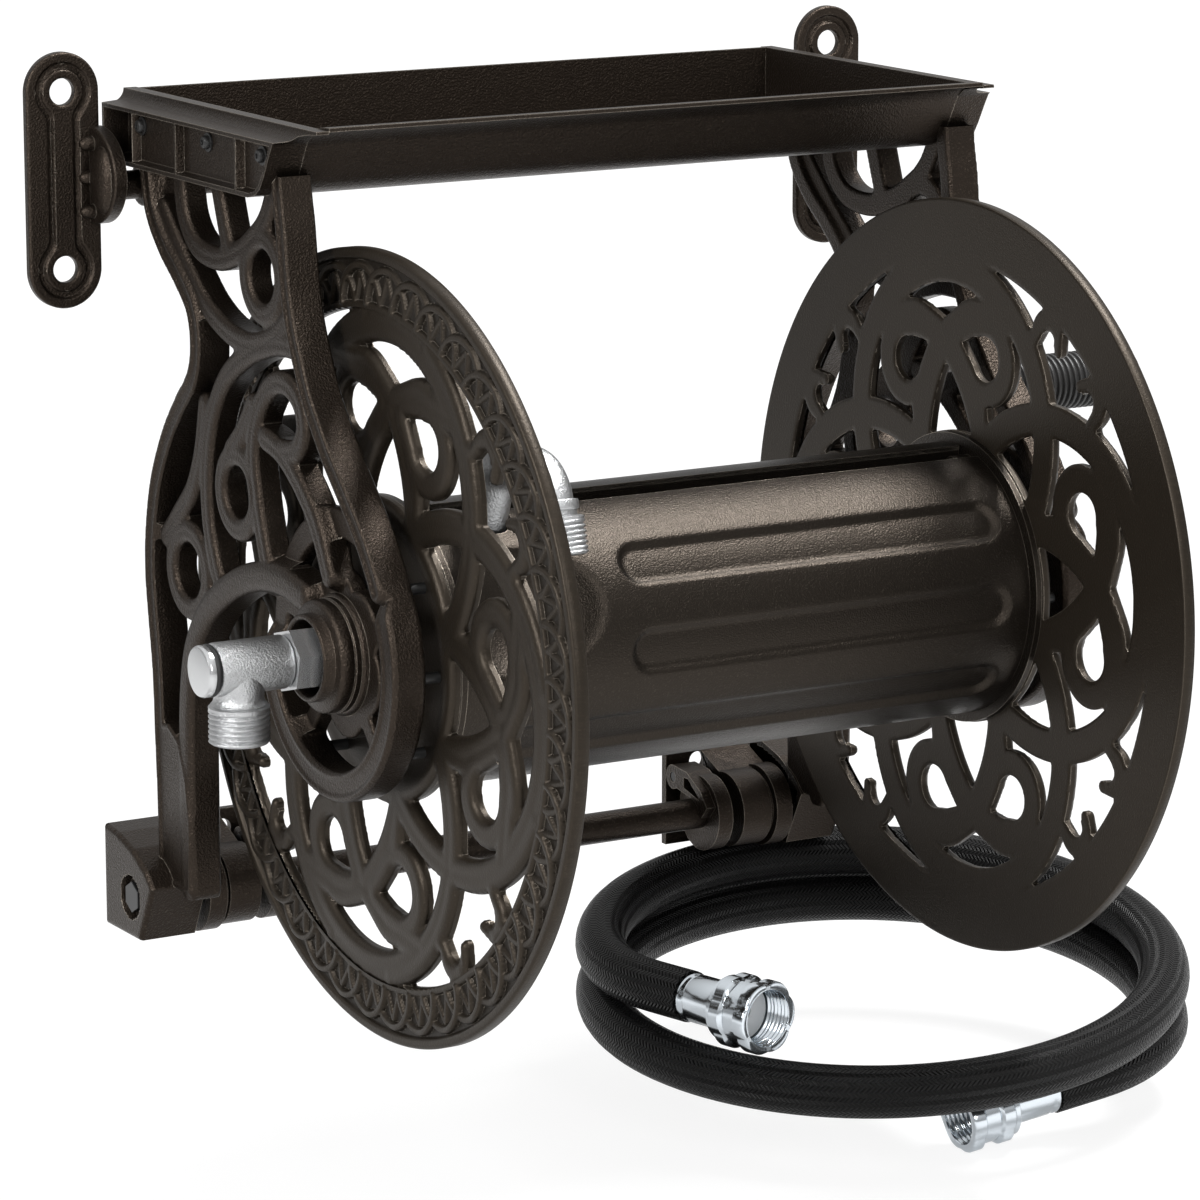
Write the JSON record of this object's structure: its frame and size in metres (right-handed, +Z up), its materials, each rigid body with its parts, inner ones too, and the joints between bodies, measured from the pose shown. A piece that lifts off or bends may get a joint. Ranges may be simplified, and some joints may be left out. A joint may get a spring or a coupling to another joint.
{
  "type": "wall mounted hose reel",
  "caption": "Wall mounted garden hose reel: cast scrollwork side frames and discs, drum, crank, swivel inlet, top tray and a coiled leader hose.",
  "frame": {"origin": "centre of the four upper wall bolts, on the wall plane", "axes": "X along the axle towards the crank, -Y out of the wall towards the user, +Z up"},
  "size_m": [0.5291, 0.3755, 0.5007],
  "materials": {
    "bronze_coat": "textured dark bronze powder coat",
    "drum_coat": "orange peel dark bronze powder coat",
    "cast_zinc": "satin cast",
    "zinc_steel": "satin",
    "coupling_chrome": "polished",
    "black_steel": "black",
    "black_plastic": "matt",
    "black_rubber": "matt",
    "hose_rubber": "woven cover"
  },
  "bodies": {
    "stand": {"side_frame_left": "bronze_coat", "side_frame_right": "bronze_coat", "tray_pan": "bronze_coat", "tray_end_left": "bronze_coat", "tray_end_right": "bronze_coat", "tray_screws": "black_steel", "upper_rod": "bronze_coat", "lower_rod": "bronze_coat", "rod_end_bolts": "zinc_steel", "wall_plate_left": "bronze_coat", "wall_plate_right": "bronze_coat", "rod_knuckle_left": "bronze_coat", "rod_knuckle_right": "bronze_coat", "lower_bracket_left": "bronze_coat", "lower_bracket_right": "bronze_coat", "bracket_hook_left": "bronze_coat", "bracket_hook_right": "bronze_coat", "hook_pins": "black_steel", "bushing_left": "black_plastic", "bushing_right": "black_plastic", "leader_hose": "hose_rubber", "ferrule_a": "coupling_chrome", "ferrule_b": "coupling_chrome", "nut_washers": "black_rubber"},
    "reel": {"disc_left": "bronze_coat", "disc_right": "bronze_coat", "drum_sheet": "drum_coat", "drum_hub_left": "bronze_coat", "drum_hub_right": "bronze_coat", "disc_screws": "black_steel", "water_tube": "cast_zinc", "outlet_elbow": "cast_zinc", "inlet_cap": "cast_zinc", "inlet_o_rings": "black_rubber", "crank_shaft": "zinc_steel", "crank_arm": "bronze_coat", "crank_bolt": "zinc_steel", "grip_pin": "zinc_steel"},
    "grip": {"crank_grip": "black_plastic", "grip_cap": "black_plastic"},
    "inlet": {"inlet_elbow": "cast_zinc"},
    "nut_a": {"hose_nut_a": "coupling_chrome"},
    "nut_b": {"hose_nut_b": "coupling_chrome"}
  },
  "joints": [
    {"name": "reel_spin", "type": "hinge", "parent": "stand", "child": "reel", "pos_m": [0, -0.203, -0.182], "axis": [1, 0, 0], "continuous": true},
    {"name": "grip_spin", "type": "hinge", "parent": "reel", "child": "grip", "pos_m": [0.24, -0.14384, -0.10895], "axis": [1, 0, 0], "continuous": true},
    {"name": "inlet_swivel", "type": "hinge", "parent": "stand", "child": "inlet", "pos_m": [-0.2185, -0.203, -0.182], "axis": [1, 0, 0], "continuous": true},
    {"name": "nut_a_spin", "type": "hinge", "parent": "stand", "child": "nut_a", "pos_m": [0.03497, -0.2129, -0.37098], "axis": [0.2206, -0.9753, 0.0126], "continuous": true},
    {"name": "nut_b_spin", "type": "hinge", "parent": "stand", "child": "nut_b", "pos_m": [0.13209, -0.24134, -0.42496], "axis": [-0.9867, 0.0771, -0.1431], "continuous": true}
  ]
}
